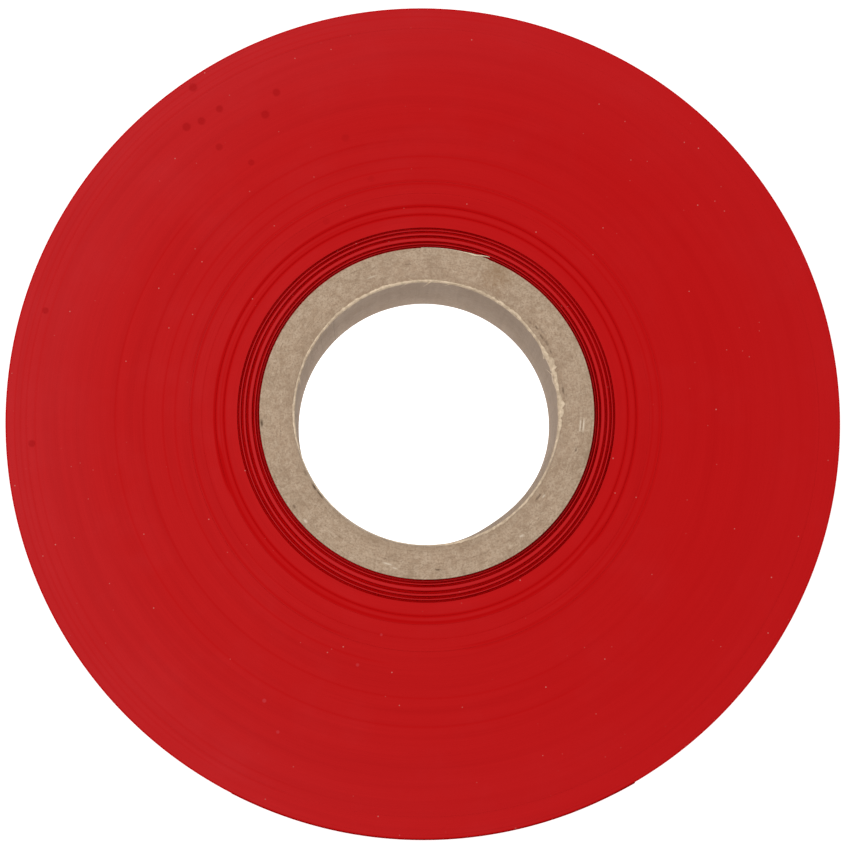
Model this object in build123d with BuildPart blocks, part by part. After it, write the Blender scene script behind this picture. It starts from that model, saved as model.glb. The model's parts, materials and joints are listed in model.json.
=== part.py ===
from build123d import *

import math
import os

# A wide roll of plain plastic film wound on a thick cardboard core, lying on one end face.
# +Z runs along the core's axis. The origin is the centre of the bore at the lower end face.
# The core is a stack of glued paper plies. The film is one long strip, given here as the
# stretches that its loose inner turns and its bands part it into, and its free end.

# Driving dimensions, in millimetres
ROLL_WIDTH = 50.0  # core and film are slit together, so both end faces are flush
ROLL_DIAMETER = 240.6
BORE_DIAMETER = 76.2  # the 3 inch bore of winding and dispensing spindles
CORE_WALL = 10.0
FILM_THICKNESS = 0.1

# Core: a thin smooth liner, thick board plies and a thin wrapper, all glued
LINER_THICKNESS = 0.6
WRAPPER_THICKNESS = 0.7
BOARD_PLY_COUNT = 7
GLUE_LINE = 0.02  # radial room between glued or tightly wound pieces

# Film: the wound turns wander off the core's axis, quickly where they are loose and then
# evenly. Each shift is that of the outermost loose turn and of the outermost turn of all.
LOOSE_TURN_SHIFT = Vector(-0.14, -0.33)
OUTER_TURN_SHIFT = Vector(-0.9, -1.7)

# Loose turns next to the core: some bundles stand level with the end faces and the turns
# between them have sunk. All depths of film are measured outwards from the core's surface.
LOOSE_START = 0.2
LOOSE_END = 6.3
LEVEL_BUNDLES = ((0.55, 0.68), (1.18, 1.5), (2.15, 3.15), (3.95, 4.55), (5.3, 5.65))
SINK = 0.8

# Tight turns outside the loose ones, each band named with the depth of film where it ends
TIGHT_BANDS = {
    "film_inner_turns": 10.1,
    "film_stepped_turns": 12.5,
    "film_ringed_turns": 16.5,
    "film_middle_turns": 20.0,
    "film_main_turns": 66.0,
    "film_outer_turns": 71.0,
}

# Paper tape that holds the film's start on the core, in the innermost gap
STARTER_ANGLE = 80.0
STARTER_LENGTH = 20.0
STARTER_THICKNESS = 0.15

# Free end of the film: it leaves the roll at the lift-off line and lies just off the turn
# below. It bends at evenly spaced lines, and a paper tab closes it.
LIFT_OFF_ANGLE = 262.0
LEAD_IN_LENGTH = 40.0  # stretch of the last turn that climbs over the turn below
TAIL_SEGMENTS = 4
TAIL_SEGMENT_LENGTH = 20.0
BEND_GAP = 0.1  # room along the film at each bend line
TAIL_LIFT = 0.08
TAB_HOLD = 9.5  # length of the tab on the tail
TAB_REACH = 20.0  # length of the tab past the tail's end, on the turn below
TAB_WIDTH = 24.0
TAB_THICKNESS = 0.1

# Derived dimensions
bore_radius = BORE_DIAMETER / 2
core_radius = bore_radius + CORE_WALL
roll_radius = ROLL_DIAMETER / 2
board_ply_thickness = (CORE_WALL - LINER_THICKNESS - WRAPPER_THICKNESS) / BOARD_PLY_COUNT
core_axis = Vector(0, 0)


def turn_centre(radius):
    """Centre of the turn of film that has this radius."""
    depth = radius - core_radius
    if depth < LOOSE_END:
        return LOOSE_TURN_SHIFT * (depth / LOOSE_END)
    tight_share = (depth - LOOSE_END) / (roll_radius - core_radius - LOOSE_END)
    return LOOSE_TURN_SHIFT + (OUTER_TURN_SHIFT - LOOSE_TURN_SHIFT) * tight_share


def on_turn(radius, angle):
    """Point at this angle, in degrees, on a circle about the outermost turn's centre."""
    return OUTER_TURN_SHIFT + Vector(radius, 0).rotate(Axis.Z, angle)


def degrees_along(length, radius=roll_radius):
    """Angle that a length along a circle of this radius covers."""
    return math.degrees(length / radius)


def save(piece, label):
    """Names a finished piece and writes it to its own file."""
    piece.label = label
    export_step(piece, f"parts/{label}.step")


def make_ring(label, inner_radius, inner_centre, outer_radius, outer_centre, sink=0.0):
    """Ring sunk at both ends, whose inner and outer circles have their own centres."""
    with BuildPart() as ring:
        with BuildSketch(Plane.XY.offset(sink)):
            with Locations(outer_centre):
                Circle(outer_radius)
            with Locations(inner_centre):
                Circle(inner_radius, mode=Mode.SUBTRACT)
        extrude(amount=ROLL_WIDTH - 2 * sink)
    save(ring.part, label)


def make_ply(label, inner_radius, thickness):
    """One ply of the core, a glue line short of the next."""
    make_ring(label, inner_radius, core_axis, inner_radius + thickness - GLUE_LINE, core_axis)


def make_film_band(label, inner_depth, outer_depth, sink=0.0):
    """Turns of film between two depths, a glue line short of the next band."""
    inner = core_radius + inner_depth
    outer = core_radius + outer_depth - GLUE_LINE
    make_ring(label, inner, turn_centre(inner), outer, turn_centre(outer), sink)


def make_strip(label, angles, lifts, thickness, bottom=0.0, width=ROLL_WIDTH):
    """Strip along the roll's outer surface, between two angles and from one lift to another."""
    start, end = angles
    middle = (start + end) / 2
    start_radius = roll_radius + lifts[0]
    end_radius = roll_radius + lifts[1]
    middle_radius = (start_radius + end_radius) / 2
    with BuildPart() as strip:
        with BuildSketch(Plane.XY.offset(bottom)):
            with BuildLine():
                under = ThreePointArc(
                    on_turn(start_radius, start),
                    on_turn(middle_radius, middle),
                    on_turn(end_radius, end),
                )
                over = ThreePointArc(
                    on_turn(start_radius + thickness, start),
                    on_turn(middle_radius + thickness, middle),
                    on_turn(end_radius + thickness, end),
                )
                Line(under @ 0, over @ 0)
                Line(under @ 1, over @ 1)
            make_face()
        extrude(amount=width)
    save(strip.part, label)


def make_core():
    """Liner, board plies and wrapper, from the bore outwards."""
    make_ply("core_liner", bore_radius, LINER_THICKNESS)
    board_start = bore_radius + LINER_THICKNESS
    for number in range(BOARD_PLY_COUNT):
        inner_radius = board_start + number * board_ply_thickness
        make_ply(f"core_ply_{number + 1}", inner_radius, board_ply_thickness)
    wrapper_radius = core_radius - WRAPPER_THICKNESS
    make_ring("core_wrapper", wrapper_radius, core_axis, core_radius, core_axis)


def make_starter_tape():
    """Curved patch of paper tape against the core's wrapper."""
    inner_radius = core_radius + GLUE_LINE
    outer_radius = inner_radius + STARTER_THICKNESS
    covered = degrees_along(STARTER_LENGTH, core_radius)
    start = STARTER_ANGLE - covered / 2
    with BuildPart() as starter_tape:
        with BuildSketch():
            with BuildLine():
                under = CenterArc(core_axis, inner_radius, start, covered)
                over = CenterArc(core_axis, outer_radius, start, covered)
                Line(under @ 0, over @ 0)
                Line(under @ 1, over @ 1)
            make_face()
        extrude(amount=ROLL_WIDTH)
    save(starter_tape.part, "starter_tape")


def make_loose_turns():
    """Sunken turns and level bundles in turn, from the core to the tight turns."""
    depth = LOOSE_START
    for number, (start, end) in enumerate(LEVEL_BUNDLES, start=1):
        make_film_band(f"film_sunken_turns_{number}", depth, start, SINK)
        make_film_band(f"film_level_turns_{number}", start, end)
        depth = end
    make_film_band(f"film_sunken_turns_{len(LEVEL_BUNDLES) + 1}", depth, LOOSE_END, SINK)


def make_tight_turns():
    """Bands of tight turns, from the loose ones to the roll's outside."""
    depth = LOOSE_END
    for label, band_end in TIGHT_BANDS.items():
        make_film_band(label, depth, band_end)
        depth = band_end
    inner = core_radius + depth
    make_ring("film_last_turns", inner, turn_centre(inner), roll_radius, OUTER_TURN_SHIFT)


def make_free_end():
    """Lead-in that climbs off the roll, the tail's segments and the closing tab."""
    lead_in = degrees_along(LEAD_IN_LENGTH)
    half_gap = degrees_along(BEND_GAP) / 2
    segment = degrees_along(TAIL_SEGMENT_LENGTH)
    make_strip(
        "film_tail_lead_in",
        (LIFT_OFF_ANGLE - lead_in, LIFT_OFF_ANGLE - half_gap),
        (GLUE_LINE, TAIL_LIFT),
        FILM_THICKNESS,
    )
    for number in range(TAIL_SEGMENTS):
        start = LIFT_OFF_ANGLE + number * segment
        make_strip(
            f"film_tail_{number + 1}",
            (start + half_gap, start + segment - half_gap),
            (TAIL_LIFT, TAIL_LIFT),
            FILM_THICKNESS,
        )
    tail_end = LIFT_OFF_ANGLE + TAIL_SEGMENTS * segment
    tab_lift = TAIL_LIFT + FILM_THICKNESS + GLUE_LINE
    make_strip(
        "closing_tab",
        (tail_end - degrees_along(TAB_HOLD), tail_end + degrees_along(TAB_REACH)),
        (tab_lift, tab_lift),
        TAB_THICKNESS,
        bottom=(ROLL_WIDTH - TAB_WIDTH) / 2,
        width=TAB_WIDTH,
    )


os.makedirs("parts", exist_ok=True)
make_core()
make_starter_tape()
make_loose_turns()
make_tight_turns()
make_free_end()
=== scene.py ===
import json
import math

import bmesh
import bpy
import numpy as np
from mathutils import Matrix, Vector


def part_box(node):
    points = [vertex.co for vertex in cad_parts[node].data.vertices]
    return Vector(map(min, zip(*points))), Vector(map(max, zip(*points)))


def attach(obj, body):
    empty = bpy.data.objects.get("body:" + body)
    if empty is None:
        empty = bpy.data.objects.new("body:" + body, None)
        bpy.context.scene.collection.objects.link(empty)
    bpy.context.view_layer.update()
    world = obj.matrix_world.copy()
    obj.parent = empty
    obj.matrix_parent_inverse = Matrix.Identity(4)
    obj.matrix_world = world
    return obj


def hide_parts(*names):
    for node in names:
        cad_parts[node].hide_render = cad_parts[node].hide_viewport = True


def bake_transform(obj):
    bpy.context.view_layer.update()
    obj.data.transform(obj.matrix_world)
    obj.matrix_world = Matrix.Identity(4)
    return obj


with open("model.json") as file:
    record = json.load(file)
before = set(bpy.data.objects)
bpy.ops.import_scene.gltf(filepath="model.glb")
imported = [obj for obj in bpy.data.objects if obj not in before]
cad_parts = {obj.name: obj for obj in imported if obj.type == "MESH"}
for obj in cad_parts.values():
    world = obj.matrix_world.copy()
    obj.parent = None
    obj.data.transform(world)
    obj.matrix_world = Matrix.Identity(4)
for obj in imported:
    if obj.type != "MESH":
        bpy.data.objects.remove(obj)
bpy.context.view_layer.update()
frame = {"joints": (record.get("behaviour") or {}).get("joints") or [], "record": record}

# A large roll of red film on a cardboard core. Lengths are in metres and depths of film are
# measured outwards from the core's surface. Every ring is built round its own turn's centre.

MM = 0.001
ROLL = "roll"

# Sizes that follow from the frame
MOUNTS = {mount["name"]: mount for mount in frame["record"]["mounts"]}
BORE_RADIUS = MOUNTS["bore"]["dims"]["r_mm"] * MM
WIDTH = MOUNTS["bore"]["dims"]["length_mm"] * MM
JOINTS = {joint["name"]: joint for joint in frame["joints"]}


def node_circle(node):
    """Centre and outer radius of a ring node."""
    low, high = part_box(node)
    centre = np.array([(low[0] + high[0]) / 2, (low[1] + high[1]) / 2])
    radius = (high[0] - low[0] + high[1] - low[1]) / 4
    return centre, radius


CORE_RADIUS = node_circle("core_wrapper")[1]
ROLL_CENTRE, ROLL_RADIUS = node_circle("film_last_turns")
LOOSE_CENTRE, LOOSE_RADIUS = node_circle("film_sunken_turns_6")
LOOSE_DEPTH = LOOSE_RADIUS - CORE_RADIUS
FULL_DEPTH = ROLL_RADIUS - CORE_RADIUS
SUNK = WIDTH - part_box("film_sunken_turns_1")[1][2]

LOOSE_NODES = []
for number in range(1, 6):
    LOOSE_NODES += [f"film_sunken_turns_{number}", f"film_level_turns_{number}"]
LOOSE_NODES.append("film_sunken_turns_6")
TIGHT_BANDS = ("inner", "stepped", "ringed", "middle", "main", "outer", "last")
TIGHT_NODES = [f"film_{band}_turns" for band in TIGHT_BANDS]
CORE_NODES = ["core_liner"] + [f"core_ply_{number}" for number in range(1, 8)] + ["core_wrapper"]

# Looks of the film's end face
AROUND = 512  # points round a ring
LOOSE_SEAM = 0.02 * MM  # dark line between two loose bands
TIGHT_SEAM = 0.005 * MM  # between tight bands, and between the core's plies
FLAT_ANGLE = 71.0  # the whole roll is a little flattened here
FLAT_SPREAD = 13.0
FLAT_DROP = 0.22 * MM
OVAL = 0.14 * MM  # the core and the turns next to it are a little oval, and off to one side
OFFSET = 0.05 * MM
EVEN_DEPTH = 18.0 * MM  # depth of film where that has evened out
# Shallow rings in the end face: depth of film, width, drop, first and last angle
RINGS = (
    (10.1, 0.80, 0.10, -180, 180),
    (12.6, 0.85, 0.13, -36, 200),
    (11.9, 0.80, 0.10, -170, -34),
    (11.1, 0.50, 0.03, 100, 250),
    (16.4, 0.60, 0.015, 150, 330),
    (17.4, 0.50, 0.03, -60, 60),
    (19.4, 0.70, 0.035, -80, 250),
    (20.4, 0.50, 0.03, -80, 170),
    (24.0, 0.60, 0.025, 90, 260),
    (27.5, 0.60, 0.025, 60, 200),
    (33.0, 0.60, 0.02, 100, 300),
    (41.0, 0.60, 0.02, 140, 300),
    (63.8, 0.60, 0.012, 130, 250),
    (66.3, 0.50, 0.014, 100, 250),
    (67.9, 0.45, 0.012, 100, 240),
    (69.6, 0.45, 0.014, 80, 230),
    (72.1, 0.50, 0.10, -180, 180),
)


def smooth(share):
    """Eases a share from 0 to 1."""
    share = np.clip(share, 0.0, 1.0)
    return share * share * (3 - 2 * share)


def value_noise(across, around, cells, seed):
    """Soft noise from -1 to 1 over two grids, repeating round after so many cells."""
    table = np.random.default_rng(seed).uniform(-1, 1, (997, cells))
    row = np.floor(across).astype(int)
    column = np.floor(around).astype(int)
    down = smooth(across - row)
    along = smooth(around - column)
    corners = [[table[(row + i) % 997, (column + j) % cells] for j in (0, 1)] for i in (0, 1)]
    upper = corners[0][0] * (1 - along) + corners[0][1] * along
    lower = corners[1][0] * (1 - along) + corners[1][1] * along
    return upper * (1 - down) + lower * down


def ring_noise(depth, step, cells, seed):
    """Noise over a ring: one value per step of depth, and so many cells round it."""
    turns = TURN_ANGLES / math.tau * cells
    return value_noise(np.asarray(depth)[:, None] / step, turns[None, :], cells, seed)


TURN_ANGLES = np.linspace(0, math.tau, AROUND, endpoint=False)


def angle_from(degrees):
    """Degrees from this angle to each point of a ring, from -180 to 180."""
    return (np.degrees(TURN_ANGLES) - degrees + 180) % 360 - 180


def within(first, last, fade=9.0):
    """1 from the first angle to the last, counter-clockwise, and fading to 0 past both."""
    if last - first >= 360:
        return np.ones(AROUND)
    half = (last - first) / 2
    away = np.abs(angle_from((first + last) / 2)) - half
    return 1 - smooth(away / fade + 0.5)


def turn_centre(depth):
    """Centre of the turn at this depth: it leaves the core's axis fast, then evenly."""
    loose = np.clip(depth / LOOSE_DEPTH, 0, 1)
    tight = np.clip((depth - LOOSE_DEPTH) / (FULL_DEPTH - LOOSE_DEPTH), 0, 1)
    return LOOSE_CENTRE * loose + (ROLL_CENTRE - LOOSE_CENTRE) * tight


def out_of_round(depth):
    """How far a turn stands out from its circle: the core is a little oval, the roll dented."""
    oval = OVAL * np.cos(2 * TURN_ANGLES) + OFFSET * np.cos(TURN_ANGLES)
    oval = oval * smooth(1 - depth / EVEN_DEPTH)
    share = np.clip(depth / FULL_DEPTH, 0, 1)
    return oval - FLAT_DROP * share * np.exp(-((angle_from(FLAT_ANGLE) / FLAT_SPREAD) ** 2))


# ---------------------------------------------------------------- mesh helpers


def add_object(name, points, faces, slots=None, **fields):
    """Mesh object, smooth but for its sharp edges; fields are values given to its points."""
    mesh = bpy.data.meshes.new(name)
    mesh.from_pydata(points.tolist(), [], faces.tolist())
    mesh.polygons.foreach_set("use_smooth", np.ones(len(faces), bool))
    if slots is not None:
        mesh.polygons.foreach_set("material_index", slots.astype(np.int32))
    for key, values in fields.items():
        layer = mesh.attributes.new(key, "FLOAT", "POINT")
        layer.data.foreach_set("value", values.astype(np.float32))
    solid = bmesh.new()
    solid.from_mesh(mesh)
    bmesh.ops.recalc_face_normals(solid, faces=solid.faces)
    solid.to_mesh(mesh)
    solid.free()
    mesh.set_sharp_from_angle(angle=math.radians(50))
    piece = bpy.data.objects.new(name, mesh)
    bpy.context.scene.collection.objects.link(piece)
    return piece


def grid_faces(rows, columns, close_rows, close_columns):
    """Quads of a grid of points, closed on itself where asked."""
    row = np.arange(rows if close_rows else rows - 1)
    column = np.arange(columns if close_columns else columns - 1)
    row, column = np.meshgrid(row, column, indexing="ij")
    next_row = (row + 1) % rows
    next_column = (column + 1) % columns
    corners = (row * columns + column, next_row * columns + column)
    corners += (next_row * columns + next_column, row * columns + next_column)
    return np.stack([corner.ravel() for corner in corners], axis=1)


class Ring:
    """Profile of a closed ring, filled loop by loop and then turned into a mesh."""

    def __init__(self):
        self.loops = []

    def add(self, depth, radius, height, slot, centre=None, shade=0.0):
        """One loop of points; the slot is that of the faces from this loop to the next."""
        centre = turn_centre(depth) if centre is None else centre
        x = centre[0] + radius * np.cos(TURN_ANGLES)
        y = centre[1] + radius * np.sin(TURN_ANGLES)
        z = np.broadcast_to(height, AROUND)
        self.loops.append((np.stack([x, y, z], axis=1), depth, np.broadcast_to(shade, AROUND), slot))

    def build(self, name):
        points, depths, shades, slots = zip(*self.loops)
        faces = grid_faces(len(slots), AROUND, True, True)
        return add_object(
            name,
            np.concatenate(points),
            faces,
            np.repeat(slots, AROUND),
            film_depth=np.repeat(depths, AROUND) / MM,
            shade=np.concatenate(shades),
        )


def ribbons(name, strips):
    """Mesh of thin tapering ribbons, each given as a path, its widths and its thickness."""
    points, faces = [], []
    first = 0
    for path, widths, thickness in strips:
        along = np.gradient(path, axis=0)
        across = np.stack([-along[:, 1], along[:, 0], np.zeros(len(path))], axis=1)
        across = across / np.linalg.norm(across, axis=1, keepdims=True) * widths[:, None] / 2
        up = np.array([0, 0, thickness / 2])
        left, right = path - across, path + across
        corners = np.stack([left - up, right - up, right + up, left + up], axis=1)
        sides = grid_faces(len(path), 4, False, True) + first
        last = first + 4 * (len(path) - 1)
        caps = np.array([np.arange(4) + first, np.arange(4) + last])
        points.append(corners.reshape(-1, 3))
        faces += [sides, caps]
        first = last + 4
    return add_object(name, np.concatenate(points), np.concatenate(faces))


# ---------------------------------------------------------------- materials


class Nodes:
    """Short hand for building a material's node tree."""

    def __init__(self, name):
        self.material = bpy.data.materials.new(name)
        self.material.use_nodes = True
        self.tree = self.material.node_tree
        self.shader = self.tree.nodes["Principled BSDF"]

    def add(self, kind, inputs=None, **settings):
        """New node, with its settings, and its inputs by name or number as values or links."""
        made = self.tree.nodes.new(f"ShaderNode{kind}")
        for key, value in settings.items():
            setattr(made, key, value)
        for key, value in (inputs or {}).items():
            self.put(made.inputs[key], value)
        return made

    def put(self, socket, value):
        if isinstance(value, bpy.types.NodeSocket):
            self.tree.links.new(value, socket)
        else:
            socket.default_value = value

    def math(self, operation, first, second=0.0, clamp=False):
        made = self.add("Math", {0: first, 1: second}, operation=operation, use_clamp=clamp)
        return made.outputs[0]

    def place(self):
        return self.add("TexCoord").outputs["Object"]

    def noise(self, vector, scale, detail=3.0, roughness=0.55):
        inputs = {"Vector": vector, "Scale": scale, "Detail": detail, "Roughness": roughness}
        return self.add("TexNoise", inputs).outputs["Fac"]

    def stretch(self, vector, factors):
        return self.add("VectorMath", {0: vector, 1: factors}, operation="MULTIPLY").outputs[0]

    def remap(self, value, low, high, new_low, new_high):
        inputs = {0: value, 1: low, 2: high, 3: new_low, 4: new_high}
        return self.add("MapRange", inputs).outputs[0]

    def mix(self, share, first, second):
        # the colour sockets, 6 and 7, come after the float and vector ones
        return self.add("Mix", {0: share, 6: first, 7: second}, data_type="RGBA").outputs[2]

    def bump(self, height, distance, strength=1.0, normal=None):
        inputs = {"Height": height, "Distance": distance, "Strength": strength}
        if normal is not None:
            inputs["Normal"] = normal
        return self.add("Bump", inputs).outputs[0]

    def finish(self, colour, roughness, normal, specular):
        self.put(self.shader.inputs["Base Color"], colour)
        self.put(self.shader.inputs["Roughness"], roughness)
        self.put(self.shader.inputs["Normal"], normal)
        self.shader.inputs["Specular IOR Level"].default_value = specular
        return self.material


def turn_vector(nodes, across, around):
    """Coordinates that run with the turns: depth across them and direction round them."""
    depth = nodes.add("Attribute", attribute_name="film_depth").outputs["Fac"]
    flat = nodes.stretch(nodes.place(), (1.0, 1.0, 0.0))
    way = nodes.add("VectorMath", {0: flat}, operation="NORMALIZE").outputs[0]
    parts = nodes.add("SeparateXYZ", {0: way})
    inputs = {
        0: nodes.math("MULTIPLY", parts.outputs[0], around),
        1: nodes.math("MULTIPLY", parts.outputs[1], around),
        2: nodes.math("MULTIPLY", depth, across),
    }
    return nodes.add("CombineXYZ", inputs).outputs[0]


def rgb(red, green, blue):
    return (red, green, blue, 1.0)


FILM_RED = rgb(0.448, 0.0080, 0.0086)
FILM_FLAT = rgb(0.440, 0.0030, 0.0034)  # the film's own face, clear of the painted sheen on the slit edges
FILM_SHADED_RED = rgb(0.430, 0.0012, 0.0016)  # painted shade: the edges' red without their sheen, for the ring grooves and the right side
FILM_PAINTED_BOUNCE_RED = rgb(0.560, 0.0012, 0.0016)  # painted light: redder and without sheen, standing in for the shade and red bounce light between the loose turns
FILM_DARK = rgb(0.27, 0.001, 0.002)
FILM_PALE = rgb(0.48, 0.042, 0.050)

BROWN_STAIN = (20.3 * MM, 40.0 * MM, WIDTH)  # on the core's end face

# Small round marks on the film's end face: place across the roll and radius in millimetres,
# and tone, above zero for dark stains and below zero for pale scuffs
STAINS = (
    (-67.9, 94.9, 1.3, 0.42),
    (-60.2, 88.6, 1.1, 0.42),
    (-65.4, 85.0, 1.2, 0.42),
    (-69.7, 83.3, 1.3, 0.42),
    (-43.7, 93.5, 1.2, 0.42),
    (-46.9, 87.0, 1.3, 0.42),
    (-60.2, 77.4, 1.1, 0.36),
    (-50.9, 72.9, 1.0, 0.36),
    (-23.6, 80.2, 1.2, 0.20),
    (-29.1, 55.7, 1.1, 0.16),
    (-16.1, 68.2, 1.1, 0.14),
    (-110.0, 29.5, 1.0, 0.42),
    (-113.5, -9.0, 1.1, 0.42),
    (-46.4, -82.6, 0.6, -0.5),
    (-42.5, -91.5, 0.5, -0.45),
    (-19.8, -72.4, 0.5, -0.45),
    (-13.0, -63.8, 0.4, -0.5),
)


def film_edge_material(name, base):
    """Slit edges of the turns: satin red with fine rings, soft mottling, stains and dust, a painted sheen
    towards the rim and the upper left, painted shade on the right side and in the ring grooves, and painted
    highlights on the crests.
    """
    nodes = Nodes(name)
    place = nodes.place()
    depth = nodes.add("Attribute", attribute_name="film_depth").outputs["Fac"]
    shade = nodes.add("Attribute", attribute_name="shade").outputs["Fac"]
    fine = nodes.noise(turn_vector(nodes, 3.6, 2.2), 1.0, 4.0, 0.6)
    broad = nodes.noise(turn_vector(nodes, 0.35, 1.3), 1.0, 3.0, 0.5)
    mottle = nodes.noise(place, 55.0, 4.0, 0.6)
    haze = nodes.noise(turn_vector(nodes, 0.12, 1.6), 1.0, 4.0, 0.6)
    tone = nodes.mix(nodes.remap(fine, 0.35, 0.75, 0.0, 0.16), base, FILM_DARK)
    tone = nodes.mix(nodes.remap(broad, 0.45, 0.8, 0.0, 0.20), tone, FILM_DARK)
    tone = nodes.mix(nodes.remap(mottle, 0.5, 0.8, 0.0, 0.08), tone, FILM_PALE)
    # painted sheen: paler towards the rim and the upper left, where the light falls, in soft clouds
    outwards = nodes.remap(depth, 40.0, 72.0, 0.0, 0.17)
    sides = nodes.add("SeparateXYZ", {0: place})
    upper_left = nodes.math("SUBTRACT", sides.outputs[1], sides.outputs[0])
    side = nodes.remap(upper_left, -0.12, 0.12, 0.45, 1.25)
    clouds = nodes.remap(haze, 0.3, 0.7, 0.6, 1.2)
    painted_sheen = nodes.math("MULTIPLY", nodes.math("MULTIPLY", outwards, side), clouds)
    tone = nodes.mix(painted_sheen, tone, FILM_PALE)
    # painted highlight on the crests of the level bundles, where the shade attribute is below zero
    tone = nodes.mix(nodes.math("MULTIPLY", shade, -0.5, clamp=True), tone, FILM_PALE)
    # painted shade on the right side, away from the light: darker and without the sheen
    tone = nodes.mix(nodes.remap(sides.outputs[0], -0.08, 0.10, 0.0, 0.10), tone, FILM_DARK)
    tone = nodes.mix(nodes.remap(sides.outputs[0], -0.06, 0.07, 0.0, 0.40), tone, FILM_SHADED_RED)
    # painted shade in the shallow rings' grooves, where the shade attribute is above zero: the sheen goes and
    # the red darkens
    tone = nodes.mix(nodes.math("MULTIPLY", shade, 2.2, clamp=True), tone, FILM_SHADED_RED)
    tone = nodes.mix(nodes.math("MULTIPLY", shade, 0.3, clamp=True), tone, FILM_DARK)
    stain = 0.0
    for x, y, radius, strength in STAINS:
        spot = (x * MM, y * MM, WIDTH)
        away = nodes.add("VectorMath", {0: place, 1: spot}, operation="DISTANCE").outputs["Value"]
        mark = nodes.remap(away, radius * MM * 0.7, radius * MM * 1.15, strength, 0.0)
        stain = nodes.math("ADD", stain, mark)
    tone = nodes.mix(nodes.math("MAXIMUM", stain, 0.0), tone, FILM_DARK)
    tone = nodes.mix(nodes.math("MULTIPLY", stain, -1.0, clamp=True), tone, FILM_PALE)
    cells = nodes.add("TexVoronoi", {"Vector": place, "Scale": 250.0, "Randomness": 1.0})
    rare = nodes.remap(nodes.noise(place, 400.0, 1.0), 0.46, 0.60, 0.0, 1.0)
    dust = nodes.math("MULTIPLY", nodes.remap(cells.outputs["Distance"], 0.03, 0.06, 1.0, 0.0), rare)
    tone = nodes.mix(nodes.math("MULTIPLY", dust, 0.45), tone, rgb(0.62, 0.30, 0.26))
    relief = nodes.bump(fine, 0.03 * MM, 0.6)
    grain = nodes.noise(place, 1500.0, 2.0)
    relief = nodes.bump(grain, 0.01 * MM, 0.5, relief)
    rough = nodes.remap(broad, 0.3, 0.7, 0.46, 0.58)
    return nodes.finish(tone, rough, relief, 0.03)


def film_surface_material():
    """Flat of the film: smoother and glossier than its edges, with faint stretch marks."""
    nodes = Nodes("film_surface")
    place = nodes.place()
    bands = nodes.noise(nodes.stretch(place, (6.0, 6.0, 260.0)), 1.0, 4.0, 0.6)
    drift = nodes.noise(nodes.stretch(place, (18.0, 18.0, 40.0)), 1.0, 3.0, 0.5)
    creases = nodes.noise(nodes.stretch(place, (90.0, 90.0, 14.0)), 1.0, 2.0, 0.5)
    tone = nodes.mix(nodes.remap(bands, 0.35, 0.75, 0.0, 0.32), FILM_FLAT, FILM_DARK)
    tone = nodes.mix(nodes.remap(drift, 0.5, 0.8, 0.0, 0.10), tone, FILM_PALE)
    relief = nodes.bump(bands, 0.16 * MM, 0.6)
    relief = nodes.bump(creases, 0.14 * MM, 0.45, relief)
    rough = nodes.remap(drift, 0.3, 0.7, 0.22, 0.36)
    return nodes.finish(tone, rough, relief, 0.26)


def board_material(name, base, dark, pale, specular):
    """Grey board: faint fibres along the plies, mottling, flecks, nicks and a brown stain."""
    nodes = Nodes(name)
    place = nodes.place()
    shade = nodes.add("Attribute", attribute_name="shade").outputs["Fac"]
    fibres = nodes.noise(turn_vector(nodes, 2.1, 22.0), 1.0, 5.0, 0.7)
    clouds = nodes.noise(place, 75.0, 3.0, 0.55)
    mottle = nodes.noise(place, 650.0, 5.0, 0.75)
    grit = nodes.noise(place, 1700.0, 3.0, 0.7)
    tone = nodes.mix(nodes.remap(fibres, 0.38, 0.66, 0.0, 0.62), base, dark)
    tone = nodes.mix(nodes.remap(clouds, 0.35, 0.7, 0.0, 0.45), tone, dark)
    streaks = nodes.noise(nodes.stretch(place, (1.0, 1.0, 0.15)), 300.0, 3.0, 0.6)
    tone = nodes.mix(nodes.remap(streaks, 0.5, 0.7, 0.0, 0.45), tone, dark)
    tone = nodes.mix(nodes.remap(streaks, 0.5, 0.3, 0.0, 0.40), tone, pale)
    tone = nodes.mix(nodes.remap(mottle, 0.42, 0.68, 0.0, 0.75), tone, pale)
    tone = nodes.mix(nodes.remap(grit, 0.48, 0.66, 0.0, 0.75), tone, dark)
    radius = nodes.add("Attribute", attribute_name="film_depth").outputs["Fac"]
    tone = nodes.mix(nodes.remap(radius, 38.7, 41.5, 0.30, 0.0), tone, dark)
    flecks = nodes.noise(turn_vector(nodes, 2.6, 60.0), 1.0, 2.0, 0.5)
    tone = nodes.mix(nodes.remap(flecks, 0.70, 0.78, 0.0, 0.6), tone, rgb(0.10, 0.075, 0.05))
    away = nodes.add("VectorMath", {0: place, 1: BROWN_STAIN}, operation="DISTANCE").outputs["Value"]
    ragged = nodes.math("ADD", away, nodes.remap(mottle, 0.3, 0.7, -2.0 * MM, 2.0 * MM))
    stain = nodes.remap(ragged, 0.5 * MM, 5.5 * MM, 0.5, 0.0)
    tone = nodes.mix(stain, tone, rgb(0.24, 0.14, 0.07))
    nicks = nodes.math("MAXIMUM", shade, 0.0)
    tone = nodes.mix(nicks, tone, rgb(0.10, 0.062, 0.038))
    scuffs = nodes.math("MAXIMUM", nodes.math("MULTIPLY", shade, -1.0), 0.0)
    tone = nodes.mix(scuffs, tone, rgb(0.68, 0.58, 0.46))
    relief = nodes.bump(fibres, 0.10 * MM, 0.5)
    relief = nodes.bump(mottle, 0.08 * MM, 0.6, relief)
    relief = nodes.bump(grit, 0.04 * MM, 0.6, relief)
    rough = nodes.remap(clouds, 0.3, 0.7, 0.80, 0.95)
    return nodes.finish(tone, rough, relief, specular)


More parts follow.
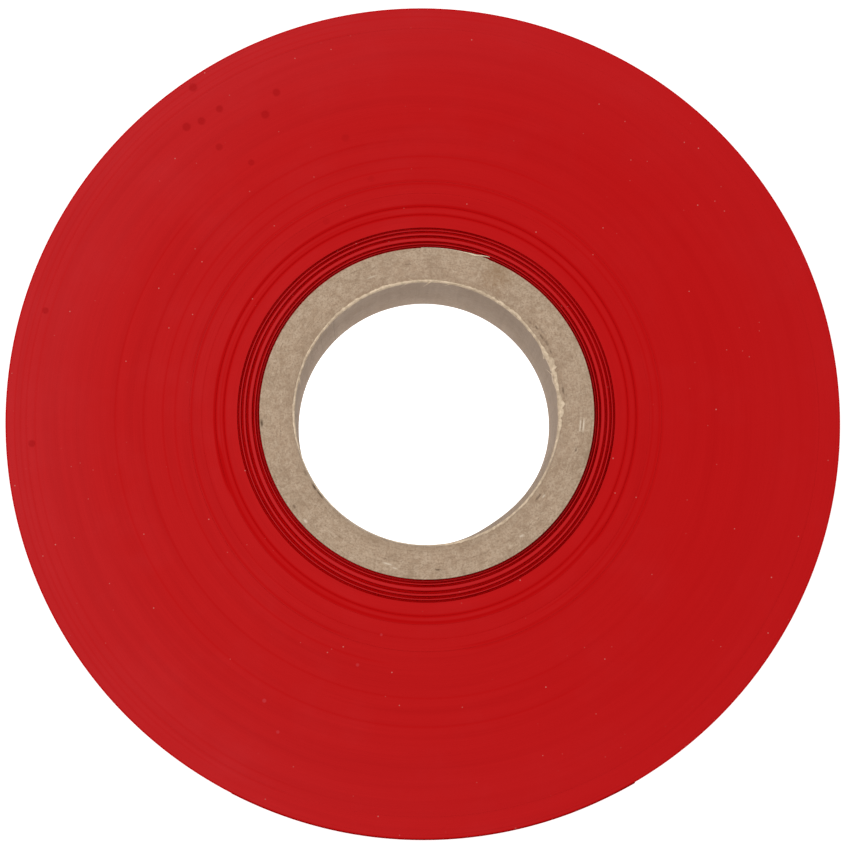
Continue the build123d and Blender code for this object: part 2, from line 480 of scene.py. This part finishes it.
def paper_material(name, base, shade):
    """Pale torn or creped paper."""
    nodes = Nodes(name)
    place = nodes.place()
    creases = nodes.noise(nodes.stretch(place, (1.0, 1.0, 0.25)), 900.0, 4.0, 0.6)
    mottle = nodes.noise(place, 300.0, 4.0, 0.65)
    tone = nodes.mix(nodes.remap(creases, 0.42, 0.66, 0.0, 0.6), base, shade)
    tone = nodes.mix(nodes.remap(mottle, 0.45, 0.62, 0.0, 0.6), tone, shade)
    relief = nodes.bump(creases, 0.06 * MM, 0.7)
    rough = nodes.remap(mottle, 0.3, 0.7, 0.75, 0.92)
    return nodes.finish(tone, rough, relief, 0.2)


def floor_material():
    """White light table: plain, pale and nearly even, brightest under the bore as painted light that washes
    out the shade down the bore, with a painted contact shadow round the roll's foot.
    """
    nodes = Nodes("light_table")
    place = nodes.place()
    cloud = nodes.noise(place, 3.0, 2.0)
    tone = nodes.mix(nodes.remap(cloud, 0.3, 0.7, 0.0, 1.0), rgb(0.44, 0.44, 0.44), rgb(0.47, 0.47, 0.47))
    away = nodes.add("VectorMath", {0: place, 1: (*ROLL_CENTRE, 0.0)}, operation="DISTANCE").outputs["Value"]
    # painted light: the table glows brightest under the bore, so the floor seen down the bore shows no shade
    # and lights the bore wall
    under = nodes.remap(away, BORE_RADIUS, CORE_RADIUS, 1.35, 0.0)
    # painted contact shadow: the table's glow fades to nothing within 2 mm of the roll's foot
    glow_with_painted_contact_shadow = nodes.remap(away, ROLL_RADIUS, ROLL_RADIUS + 2.0 * MM, 0.0, 0.78)
    nodes.shader.inputs["Emission Color"].default_value = rgb(1.0, 1.0, 1.0)
    nodes.put(nodes.shader.inputs["Emission Strength"], nodes.math("ADD", under, glow_with_painted_contact_shadow))
    grain = nodes.bump(nodes.noise(place, 200.0), 0.05 * MM, 0.1)
    return nodes.finish(tone, nodes.remap(cloud, 0.3, 0.7, 0.9, 0.95), grain, 0.0)


EDGE = film_edge_material("film_edge", FILM_RED)
PAINTED_BOUNCE_EDGE = film_edge_material("film_edge_painted_bounce_between_bundles", FILM_PAINTED_BOUNCE_RED)
SURFACE = film_surface_material()
BOARD_TONES = (rgb(0.415, 0.295, 0.202), rgb(0.255, 0.175, 0.115), rgb(0.50, 0.385, 0.28))
LINER_TONES = (rgb(0.395, 0.297, 0.222), rgb(0.27, 0.20, 0.148), rgb(0.44, 0.345, 0.265))
BOARD = board_material("core_board", *BOARD_TONES, specular=0.1)
LINER = board_material("core_liner", *LINER_TONES, specular=0.12)
TORN = paper_material("torn_paper", rgb(0.66, 0.52, 0.37), rgb(0.36, 0.265, 0.18))
TAPE = paper_material("paper_tape", rgb(0.66, 0.58, 0.44), rgb(0.52, 0.44, 0.31))
FACE_SLOT, WALL_SLOT = 0, 1


def settle(piece, materials, nodes=(), body=ROLL):
    """Gives a piece its materials, the body it moves with and the nodes it stands for."""
    for material in materials:
        piece.data.materials.append(material)
    if body:
        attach(piece, body)
    if nodes:
        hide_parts(*nodes)


# ---------------------------------------------------------------- film


START_DEPTH = 0.2 * MM  # gap between the core and the first turn
RING_PAINTED_SHADE = 8 / MM  # painted shade in a shallow ring's groove, for its drop
TAPE_FIRST, TAPE_LAST = 66.0, 94.0  # angles between which the starter tape fills that gap

# Rounding of a band's inner and outer edges
LOOSE_SHOULDERS = (0.16 * MM, 0.16 * MM)
TIGHT_SHOULDERS = {
    "film_ringed_turns": (0.06 * MM, 0.025 * MM),
    "film_middle_turns": (0.025 * MM, 0.06 * MM),
    "film_main_turns": (0.06 * MM, 0.025 * MM),
    "film_outer_turns": (0.025 * MM, 0.025 * MM),
    "film_last_turns": (0.025 * MM, 0.25 * MM),
}


def shallow_rings(depths):
    """Drop of the shallow rings at these depths of film, round the end face."""
    drop = np.zeros((len(depths), AROUND))
    for place, width, deep, first, last in RINGS:
        across = (depths - place * MM) / (width * MM / 2)
        drop += deep * MM * np.exp(-(across**2))[:, None] * within(first, last)[None, :]
    return drop


def turn_relief(depths, seed):
    """How far each turn's edge stands below the end face, from winding alone."""
    sunk = 0.025 * MM * (1 + ring_noise(depths, 0.35 * MM, 9, seed))
    return sunk + 0.015 * MM * (1 + ring_noise(depths, 0.9 * MM, 5, seed + 1))


def rounded(away, shoulder):
    """Drop of a rounded shoulder at a distance from its edge."""
    share = np.clip(away / shoulder, 0, 1)
    return 0.8 * shoulder * (1 - np.sqrt(share * (2 - share)))


def face_depths(inner, outer, step, shoulders, rings=()):
    """Depths of an end face's loops: even, closer at its shoulders and at shallow rings."""
    depths = list(np.linspace(inner, outer, max(4, round((outer - inner) / step))))
    for share in (0.35, 0.7, 1.0):
        depths += [inner + shoulders[0] * share, outer - shoulders[1] * share]
    for place, width, *_ in rings:
        depths += [(place + width * share) * MM for share in (-0.8, -0.4, -0.2, 0, 0.2, 0.4, 0.8)]
    kept = sorted(depth for depth in depths if inner <= depth <= outer)
    apart = [kept[0]]
    for depth in kept[1:]:
        if depth - apart[-1] > 0.03 * MM:
            apart.append(depth)
    apart[-1] = outer
    return np.array(apart)


def film_face(depths, shoulders, sink, uneven, painted_crest_highlight, seed):
    """Drop of an end face below the roll's end, and its tone: above zero for painted shade in the shallow
    rings, below zero for a painted highlight on the band's crest.
    """
    from_inside = depths - depths.min()
    from_outside = depths.max() - depths
    away = np.minimum(from_inside, from_outside)
    edges = rounded(from_inside, shoulders[0]) + rounded(from_outside, shoulders[1])
    ragged = uneven * (1 + ring_noise(depths, 0.1 * MM, 24, seed + 7)) / 2
    rings = shallow_rings(depths)
    drop = sink + turn_relief(depths, seed) + edges[:, None] + ragged + rings
    middle = (away / away.max())[:, None]
    return drop, RING_PAINTED_SHADE * rings - painted_crest_highlight * middle


def film_ring(
    node, inner, step, shoulders, seed, edge=EDGE, sink=0.0, uneven=0.0, painted_crest_highlight=0.0, wall_loops=2, squeeze=0.0
):
    """One band of turns as a closed ring with relief on both end faces; gives its outer depth."""
    outer = node_circle(node)[1] - CORE_RADIUS
    shoulders = [min(shoulder, (outer - inner) * 0.45) for shoulder in shoulders]
    ring = Ring()

    def add_face(depths, face, upwards):
        for depth, drop, shade in zip(depths, *face):
            radius = CORE_RADIUS + depth + out_of_round(depth)
            radius = radius - squeeze * smooth((inner + 0.3 * MM - depth) / (0.3 * MM))
            height = WIDTH - drop if upwards else drop
            ring.add(depth, radius, height, FACE_SLOT, shade=shade)

    depths = face_depths(inner, outer, step, shoulders, RINGS)
    top = film_face(depths, shoulders, sink, uneven, painted_crest_highlight, seed)
    add_face(depths, top, True)
    lower_depths = face_depths(inner, outer, 4 * step, shoulders)[::-1]
    foot = film_face(lower_depths, shoulders, sink, uneven, painted_crest_highlight, seed + 50)
    high = WIDTH - top[0][-1]
    low = foot[0][0]
    wall = CORE_RADIUS + outer + out_of_round(outer)
    outermost = node == TIGHT_NODES[-1]
    for share in np.linspace(1, 0, wall_loops + 2)[1:-1]:
        height = low + (high - low) * share
        ring.add(outer, wall - (outer_bulge(height) if outermost else 0.0), height, WALL_SLOT)
    add_face(lower_depths, foot, False)
    piece = ring.build(f"{node}_wound")
    settle(piece, [edge, SURFACE], [node])
    return outer


def outer_bulge(height):
    """Hard and soft bands and slack wrinkles of the outermost turn, pressed in from round."""
    share = np.asarray(height) / WIDTH
    turns = TURN_ANGLES / math.tau
    bands = value_noise(share * 7.0, turns * 3, 3, 21)
    wrinkles = value_noise(share * 2.5 + 40.0, (turns * 90 + share * 3.0) % 90, 90, 22)
    where = smooth(value_noise(share * 2.0, turns * 11, 11, 23))
    return 0.05 * MM * (1 + bands) + 0.035 * MM * (1 + wrinkles) * where


def make_film():
    """Loose turns next to the core and then the tight bands, out to the roll's outside."""
    depth = START_DEPTH
    no_tape = 1 - within(TAPE_FIRST, TAPE_LAST, 4.0)
    for number, node in enumerate(LOOSE_NODES):
        squeeze = 0.8 * START_DEPTH * no_tape if number == 0 else 0.0
        if "sunken" in node:
            deeper = 0.4 * MM * math.exp(-depth / (2 * MM)) * within(-65, 50, 60.0)
            # the sunken turns' edges get the redder material with painted bounce light and shade
            look = {"edge": PAINTED_BOUNCE_EDGE, "sink": SUNK + deeper, "uneven": 0.25 * MM}
        else:
            look = {"uneven": 0.06 * MM, "painted_crest_highlight": 0.6}
        depth = film_ring(node, depth, 0.05 * MM, LOOSE_SHOULDERS, 100 + number, squeeze=squeeze, **look)
        depth += LOOSE_SEAM
    for number, node in enumerate(TIGHT_NODES):
        last = node == TIGHT_NODES[-1]
        step = 0.5 * MM if "main" in node else 0.2 * MM
        shoulders = TIGHT_SHOULDERS.get(node, (0.06 * MM, 0.06 * MM))
        depth = film_ring(node, depth, step, shoulders, 200 + number, wall_loops=40 if last else 2)
        depth += TIGHT_SEAM


# ---------------------------------------------------------------- core

# Marks on the core's upper end face: angle, radius, length and width in millimetres, drop
# and tone, which is above zero for dark nicks and below zero for pale scuffs
MARKS = (
    (183.7, 47.5, 1.8, 0.7, 0.30, 1.0),
    (206.5, 39.0, 2.0, 0.4, 0.20, 0.5),
    (213.5, 38.8, 1.8, 0.5, 0.35, 1.0),
    (217.5, 38.7, 3.0, 0.4, 0.30, 0.6),
    (215.5, 46.7, 1.0, 0.6, 0.25, 0.7),
    (221.8, 46.8, 1.2, 0.6, 0.05, -0.7),
    (255.5, 45.0, 2.4, 0.4, 0.05, -0.8),
    (258.5, 45.8, 1.4, 0.4, 0.05, -0.6),
    (274.1, 45.4, 1.6, 0.4, 0.25, 0.8),
    (307.5, 44.7, 1.0, 0.5, 0.05, -0.8),
    (323.0, 40.3, 2.4, 0.5, 0.30, 0.6),
    (324.5, 41.3, 1.2, 0.4, 0.05, -0.7),
    (346.1, 44.2, 1.0, 0.5, 0.25, 0.8),
    (355.6, 45.2, 3.4, 0.4, 0.03, -0.8),
    (355.6, 44.8, 3.0, 0.3, 0.20, 0.5),
    (355.6, 44.3, 3.4, 0.4, 0.03, -0.7),
    (7.0, 40.6, 1.6, 0.4, 0.05, 0.35),
    (9.5, 39.9, 2.0, 0.7, 0.05, 0.7),
    (26.5, 40.0, 1.4, 0.6, 0.05, 0.5),
    (30.5, 40.2, 2.2, 0.7, 0.05, 0.55),
    (35.5, 41.0, 2.4, 0.5, 0.05, 0.4),
    (33.7, 39.9, 1.8, 0.5, 0.30, 0.6),
    (38.0, 40.3, 1.2, 0.4, 0.30, 0.7),
    (41.5, 39.8, 1.0, 0.4, 0.20, 0.5),
    (112.0, 42.6, 3.0, 0.4, 0.05, -0.4),
    (97.0, 43.6, 2.0, 0.3, 0.15, 0.4),
)


def marks(radii):
    """Drop and tone of the nicks and scuffs at these radii, round the core's end face."""
    drop = np.zeros((len(radii), AROUND))
    tone = np.zeros((len(radii), AROUND))
    for angle, radius, length, width, deep, shade in MARKS:
        across = (radii / MM - radius) / (width / 2)
        along = np.radians(angle_from(angle)) * radius / (length / 2)
        spot = np.exp(-(across**2))[:, None] * np.exp(-(along**4))[None, :]
        drop += deep * MM * spot
        tone += shade * spot
    return drop, tone


def board_relief(radii, seed):
    """Fibres and small hollows in the board's cut end."""
    coarse = ring_noise(radii, 0.6 * MM, 70, seed)
    fine = ring_noise(radii, 0.25 * MM, 240, seed + 1)
    return 0.03 * MM * (1 + coarse) + 0.025 * MM * (1 + fine)


# The liner is swollen into the bore at the lower right, below its upper edge.
BULGE_ANGLE = -46.0
BULGE_SPREAD = 30.0
BULGE = 1.6 * MM
SEAM_PITCH = 190.0 * MM  # rise of the liner's spiral seam over one turn
SEAM_WIDTH = 0.8 * MM


def liner_bulge(height):
    """How far the liner's wall stands into the bore at this height."""
    below = smooth((WIDTH - 0.4 * MM - height) / (7 * MM))
    return BULGE * below * np.exp(-((angle_from(BULGE_ANGLE) / BULGE_SPREAD) ** 2))


def core_radius_at(radius):
    """Radius round the core of a point of this nominal radius: its outside is a little oval."""
    share = (radius - BORE_RADIUS) / (CORE_RADIUS - BORE_RADIUS)
    return radius + out_of_round(0.0) * smooth(share)


def liner_seam(height):
    """Shallow groove where the edges of the spiral liner meet."""
    rise = (TURN_ANGLES / math.tau * SEAM_PITCH - height + SEAM_PITCH / 2) % SEAM_PITCH - SEAM_PITCH / 2
    return 0.12 * MM * np.exp(-((rise / SEAM_WIDTH) ** 2))


def core_ring(node, inner, outer, seed, level):
    """One ply of the board, its ends cut a little unevenly."""
    rows = max(5, round((outer - inner) / (0.15 * MM)))
    radii = np.linspace(inner, outer, rows)
    dents, tone = marks(radii)
    axis = np.zeros(2)
    top = WIDTH - level - board_relief(radii, seed) - dents
    ring = Ring()
    for radius, height, shade in zip(radii, top, tone):
        ring.add(radius, core_radius_at(radius), height, FACE_SLOT, axis, shade)
    for radius, height in zip(radii[::-1], board_relief(radii, seed + 3)[::-1]):
        ring.add(radius, core_radius_at(radius), level + height, FACE_SLOT, axis)
    settle(ring.build(f"{node}_wound"), [BOARD], [node])


def make_liner():
    """Thin inner ply: worn upper edge, spiral seam, and a stretch that has come away."""
    inner = BORE_RADIUS
    outer = node_circle("core_liner")[1]
    thickness = outer - inner
    axis = np.zeros(2)
    shares = np.array([0.0, 0.25, 0.5, 0.75, 1.0])
    radii = inner + thickness * shares
    dents, tone = marks(radii)
    ragged = 0.5 + 0.5 * ring_noise(radii, 2.0 * MM, 40, 301)
    wear = 0.35 * MM * (1 - smooth(shares / 0.7))[:, None] * (0.3 + 0.7 * ragged)
    top = WIDTH - board_relief(radii, 302) - wear - dents
    ring = Ring()

    def bulged(radius, height):
        return core_radius_at(radius) - liner_bulge(height) * (outer - radius) / thickness

    for radius, height, shade in zip(radii, top, tone):
        ring.add(radius, bulged(radius, height), height, FACE_SLOT, axis, shade)
    wall = np.linspace(top[-1].mean(), 0, 14)[1:-1]
    for height in wall:
        ring.add(outer, bulged(outer, height), height, FACE_SLOT, axis)
    for radius, low in zip(radii[::-1], board_relief(radii, 303)[::-1]):
        ring.add(radius, bulged(radius, 0.0), low, FACE_SLOT, axis)
    for share in np.linspace(0, 1, 30)[1:-1]:
        height = top[0] * share
        waves = value_noise(height / (6 * MM), TURN_ANGLES / math.tau * 24, 24, 305)
        radius = inner + liner_seam(height) + 0.05 * MM * waves
        ring.add(inner, bulged(radius, height), height, FACE_SLOT, axis)
    settle(ring.build("core_liner_wound"), [LINER], ["core_liner"])


def make_core():
    """Liner, board plies and wrapper."""
    make_liner()
    inner = node_circle("core_liner")[1] + TIGHT_SEAM
    for number, node in enumerate(CORE_NODES[1:]):
        outer = node_circle(node)[1]
        level = 0.02 * MM * (number * 5 % 3)
        core_ring(node, inner, outer, 310 + 10 * number, level)
        inner = outer + TIGHT_SEAM


# Torn paper along the bore's upper edge: where it runs, and its wide patches, each with its
# angle and spread, and its reach over the end face and down the bore in millimetres
LIP_FIRST, LIP_LAST = -88.0, 190.0
PATCHES = (
    (26.5, 1.8, 0.1, 9.0),
    (21.5, 2.8, 2.0, 3.0),
    (14.5, 2.6, 0.5, 9.0),
    (4.0, 4.6, 1.3, 4.0),
    (-7.0, 6.0, 0.5, 2.0),
)


def lip_patches():
    """Reach of the wide torn patches round the bore, over the end face and down the bore."""
    over, down = np.zeros(AROUND), np.zeros(AROUND)
    for angle, spread, over_face, down_bore in PATCHES:
        patch = np.exp(-((angle_from(angle) / spread) ** 2))
        over += over_face * patch
        down += down_bore * patch
    return over, down


def make_torn_lip():
    """Pale torn paper along the bore's upper edge, where the liner has been ripped."""
    rim = np.zeros(AROUND)
    ragged = 0.5 + 0.5 * value_noise(rim, TURN_ANGLES / math.tau * 330, 330, 41)
    slow = 0.5 + 0.5 * value_noise(rim, TURN_ANGLES / math.tau * 37, 37, 42)
    upper = within(20, 150, 50.0)
    window = within(LIP_FIRST, LIP_LAST, 14.0)
    wide, deep = lip_patches()
    down = window * (0.15 + 0.6 * ragged * slow + 0.5 * upper * slow + deep * (0.4 + 0.6 * ragged)) * MM
    over = window * (0.06 + 0.5 * slow * ragged + 0.15 * upper + wide * (0.35 + 0.65 * ragged)) * MM
    rise = window * (0.03 + 0.22 * ragged) * MM
    thickness = 0.09 * MM * (0.12 + 0.88 * window)
    wear = 0.30 * MM
    path = (
        (-0.03 * MM, -wear - down),
        (-0.06 * MM, -wear - down * 0.5),
        (-0.02 * MM, -wear),
        (0.12 * MM, -wear * 0.45 + rise * 0.4),
        (0.24 * MM, -0.05 * MM + rise),
        (0.26 * MM + over * 0.5, -0.03 * MM + rise * 0.8),
        (0.28 * MM + over, -0.05 * MM + rise * 0.3),
    )
    ring = Ring()
    axis = np.zeros(2)
    for inset, sink in path:
        edge = BORE_RADIUS - liner_bulge(WIDTH + sink)
        ring.add(BORE_RADIUS, edge + inset - thickness * 0.5, WIDTH + sink + thickness * 0.5, FACE_SLOT, axis)
    for inset, sink in path[::-1]:
        edge = BORE_RADIUS - liner_bulge(WIDTH + sink)
        ring.add(BORE_RADIUS, edge + inset + thickness * 0.5, WIDTH + sink - thickness * 0.5, FACE_SLOT, axis)
    settle(ring.build("core_liner_torn_lip"), [TORN])


def make_lip_fibres():
    """Frayed fibres and slivers along the torn lip."""
    random = np.random.default_rng(51)
    strips = []
    for _ in range(150):
        angle = math.radians(random.uniform(40, 165) if random.random() < 0.6 else random.normal(8, 16))
        length = random.uniform(0.6, 3.2) * MM
        lean = random.normal(0.05, 0.28)
        share = np.linspace(0, 1, 6)
        turn = angle + share * length / BORE_RADIUS
        radius = BORE_RADIUS + random.uniform(-0.15, 0.5) * MM + lean * length * share
        height = WIDTH - random.uniform(0.0, 0.35) * MM + random.uniform(0, 0.25) * MM * share
        path = np.stack([radius * np.cos(turn), radius * np.sin(turn), height], axis=1)
        widths = random.uniform(0.10, 0.26) * MM * (1.05 - share)
        strips.append((path, widths, 0.05 * MM))
    settle(ribbons("core_liner_frayed_fibres", strips), [TORN])


def arc_sheet(name, angles, radius_at, heights, thickness, centre, rows=14, columns=60):
    """Thin closed sheet round an axis; radius_at and heights are given angles and shares."""
    degrees = np.linspace(angles[0], angles[1], columns)
    share = np.linspace(0, 1, rows)
    along, up = np.meshgrid(degrees, share, indexing="xy")
    low, high = heights(along)
    z = low + (high - low) * up
    inner = radius_at(along, up)
    points = []
    for radius in (inner, inner + thickness):
        x = centre[0] + radius * np.cos(np.radians(along))
        y = centre[1] + radius * np.sin(np.radians(along))
        points.append(np.stack([x, y, z], axis=-1).reshape(-1, 3))
    count = rows * columns
    sheet = grid_faces(rows, columns, False, False)
    rim = np.r_[
        np.arange(columns),
        np.arange(1, rows) * columns + columns - 1,
        (rows - 1) * columns + np.arange(columns - 2, -1, -1),
        np.arange(rows - 2, 0, -1) * columns,
    ]
    after = np.roll(rim, -1)
    edge = np.stack([rim, after, after + count, rim + count], axis=1)
    faces = np.concatenate([sheet, sheet[:, ::-1] + count, edge[:, ::-1]])
    return add_object(name, np.concatenate(points), faces)


def make_starter_tape():
    """Paper tape on the core under the first turns, with a torn sliver at the end face."""
    low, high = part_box("starter_tape")
    first = math.degrees(math.atan2(low[1], high[0]))
    last = math.degrees(math.atan2(high[1], low[0]))

    def radius_at(along, up):
        return np.full_like(along, CORE_RADIUS + 0.02 * MM - OVAL * 0.9)

    def heights(along):
        ragged = 0.25 * MM * np.sin(along * 9.0) * np.sin(along * 2.3)
        return np.full_like(along, 0.3 * MM), WIDTH - 0.15 * MM + 0.5 * ragged

    tape = arc_sheet("starter_tape_torn", (first, last), radius_at, heights, 0.12 * MM, (0, 0), rows=40)
    settle(tape, [TAPE], ["starter_tape"])
    share = np.linspace(0, 1, 16)
    turn = np.radians(last - 14 - (last - 14 - first) * share)
    radius = CORE_RADIUS + MM * (-0.15 + 0.1 * share + 0.75 * smooth((share - 0.45) / 0.55))
    height = WIDTH + 0.02 * MM + 0.12 * MM * share
    path = np.stack([radius * np.cos(turn), radius * np.sin(turn), height], axis=1)
    widths = MM * (0.15 + 0.30 * np.sin(math.pi * np.clip(share * 1.05, 0, 1)))
    settle(ribbons("starter_tape_sliver", [(path, widths, 0.12 * MM)]), [TORN])


# ---------------------------------------------------------------- free end

TAIL_BODIES = [ROLL, "tail_a", "tail_b", "tail_c", "tail_d"]
HINGES = [JOINTS[name]["pos_m"] for name in ("film_peel", "film_bend_1", "film_bend_2", "film_bend_3")]
HINGE_ANGLES = [math.degrees(math.atan2(y - ROLL_CENTRE[1], x - ROLL_CENTRE[0])) for x, y, _ in HINGES]
SEGMENT = HINGE_ANGLES[1] - HINGE_ANGLES[0]
TAIL_END = HINGE_ANGLES[-1] + SEGMENT
FILM_THICKNESS = 0.1 * MM
TAIL_LIFT = 0.06 * MM
TAB_THICKNESS = 0.08 * MM


def tail_radius(along, up):
    """The tail hugs the roll: it climbs gently before the lift-off line and waves a little."""
    climb = smooth((along - HINGE_ANGLES[0] + 2 * SEGMENT) / (2 * SEGMENT))
    loose = smooth((along - TAIL_END + SEGMENT) / SEGMENT)
    wave = 0.04 * MM * loose * (1 + np.sin(up * 9.0 + along * 0.35))
    return ROLL_RADIUS + TAIL_LIFT * climb + wave


def tail_heights(along):
    """The film is slit a hair narrower than the roll."""
    return np.full_like(along, 0.05 * MM), np.full_like(along, WIDTH - 0.05 * MM)


def tail_sheet(name, first, last, columns):
    """One stretch of the tail between two angles."""
    angles = (first, last)
    return arc_sheet(name, angles, tail_radius, tail_heights, FILM_THICKNESS, ROLL_CENTRE, columns=columns)


def make_free_end():
    """Lead-in, one piece across each hinge line, the last stretch and the tab."""
    low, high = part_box("film_tail_lead_in")
    first = math.degrees(math.atan2(high[1] - ROLL_CENTRE[1], low[0] - ROLL_CENTRE[0]))
    lead_in = tail_sheet("film_lead_in", first, HINGE_ANGLES[0] - SEGMENT / 2, 60)
    settle(lead_in, [SURFACE], ["film_tail_lead_in"])
    for number, angle in enumerate(HINGE_ANGLES):
        piece = tail_sheet(f"film_tail_bend_{number + 1}", angle - SEGMENT / 2, angle + SEGMENT / 2, 36)
        settle(piece, [SURFACE], [f"film_tail_{number + 1}"], body=None)
        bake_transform(piece)
    last = tail_sheet("film_tail_end", HINGE_ANGLES[-1] + SEGMENT / 2, TAIL_END, 24)
    settle(last, [SURFACE], body=TAIL_BODIES[-1])
    make_closing_tab()


def make_closing_tab():
    """Paper tab half on the tail's end and half on the turn below."""
    low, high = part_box("closing_tab")
    first = math.degrees(math.atan2(low[1] - ROLL_CENTRE[1], low[0] - ROLL_CENTRE[0]))
    last = math.degrees(math.atan2(high[1] - ROLL_CENTRE[1], high[0] - ROLL_CENTRE[0]))

    def radius_at(along, up):
        over_tail = 1 - smooth((along - TAIL_END) / 0.8)
        ripple = 0.03 * MM * (1 + np.sin(along * 4.0 + up * 6.0))
        on_tail = tail_radius(np.minimum(along, TAIL_END), up) + FILM_THICKNESS - ROLL_RADIUS
        return ROLL_RADIUS + 0.03 * MM + over_tail * on_tail + ripple

    def heights(along):
        inset = 0.8 * MM * (1 - smooth(np.minimum(along - first, last - along) / 0.5))
        return low[2] + inset, high[2] - inset

    angles = (first, last)
    tab = arc_sheet("closing_tab_paper", angles, radius_at, heights, TAB_THICKNESS, ROLL_CENTRE, columns=80)
    settle(tab, [TAPE], ["closing_tab"], body=TAIL_BODIES[-1])


# ---------------------------------------------------------------- stage


def make_floor():
    """Wide pale table that the roll lies on."""
    size = 3.0
    corners = [(-size, -size, 0), (size, -size, 0), (size, size, 0), (-size, size, 0)]
    mesh = bpy.data.meshes.new("table_top")
    mesh.from_pydata(corners, [], [(0, 1, 2, 3)])
    floor = bpy.data.objects.new("table_top", mesh)
    bpy.context.scene.collection.objects.link(floor)
    floor.location.z = -0.02 * MM
    mesh.materials.append(floor_material())


def aim(thing, place, target):
    """Puts a lamp or the camera at a place, looking at a target, with +Y up in the view."""
    thing.location = place
    way = (target - thing.location).normalized()
    side = way.cross(Vector((0, 1, 0))).normalized()
    up = side.cross(way)
    thing.matrix_world = Matrix.Translation(thing.location) @ Matrix((side, up, -way)).transposed().to_4x4()


def add_soft_lamp(name, place, size, power):
    lamp = bpy.data.lights.new(name, "AREA")
    lamp.size = size
    lamp.energy = power
    thing = bpy.data.objects.new(name, lamp)
    bpy.context.scene.collection.objects.link(thing)
    aim(thing, Vector(place), Vector((0, 0, 0)))


CAMERA_HEIGHT = 0.893  # above the upper end face
CAMERA_FOOT = (-0.0140, -0.0840)
CAMERA_AIM = (-0.00050, -0.0035)
SENSOR = 36.0
LENS = 131.85


def make_camera():
    """Camera almost on the roll's axis, a little below it in the picture."""
    camera = bpy.data.cameras.new("camera")
    camera.sensor_width = SENSOR
    camera.lens = LENS
    thing = bpy.data.objects.new("camera", camera)
    bpy.context.scene.collection.objects.link(thing)
    place = Vector((*CAMERA_FOOT, WIDTH + CAMERA_HEIGHT))
    aim(thing, place, Vector((*CAMERA_AIM, WIDTH)))
    bpy.context.scene.camera = thing


def make_light():
    """Even white studio light, slightly stronger from the upper left."""
    world = bpy.data.worlds.new("studio")
    world.use_nodes = True
    background = world.node_tree.nodes["Background"]
    background.inputs["Color"].default_value = rgb(1.0, 1.0, 1.0)
    background.inputs["Strength"].default_value = 1.0
    bpy.context.scene.world = world
    add_soft_lamp("upper_left_softbox", (-0.8, 0.8, 1.2), 0.8, 6.0)
    view = bpy.context.scene.view_settings
    view.view_transform = "Standard"
    view.look = "None"


make_camera()
make_light()
make_floor()
make_core()
make_torn_lip()
make_lip_fibres()
make_starter_tape()
make_film()
make_free_end()
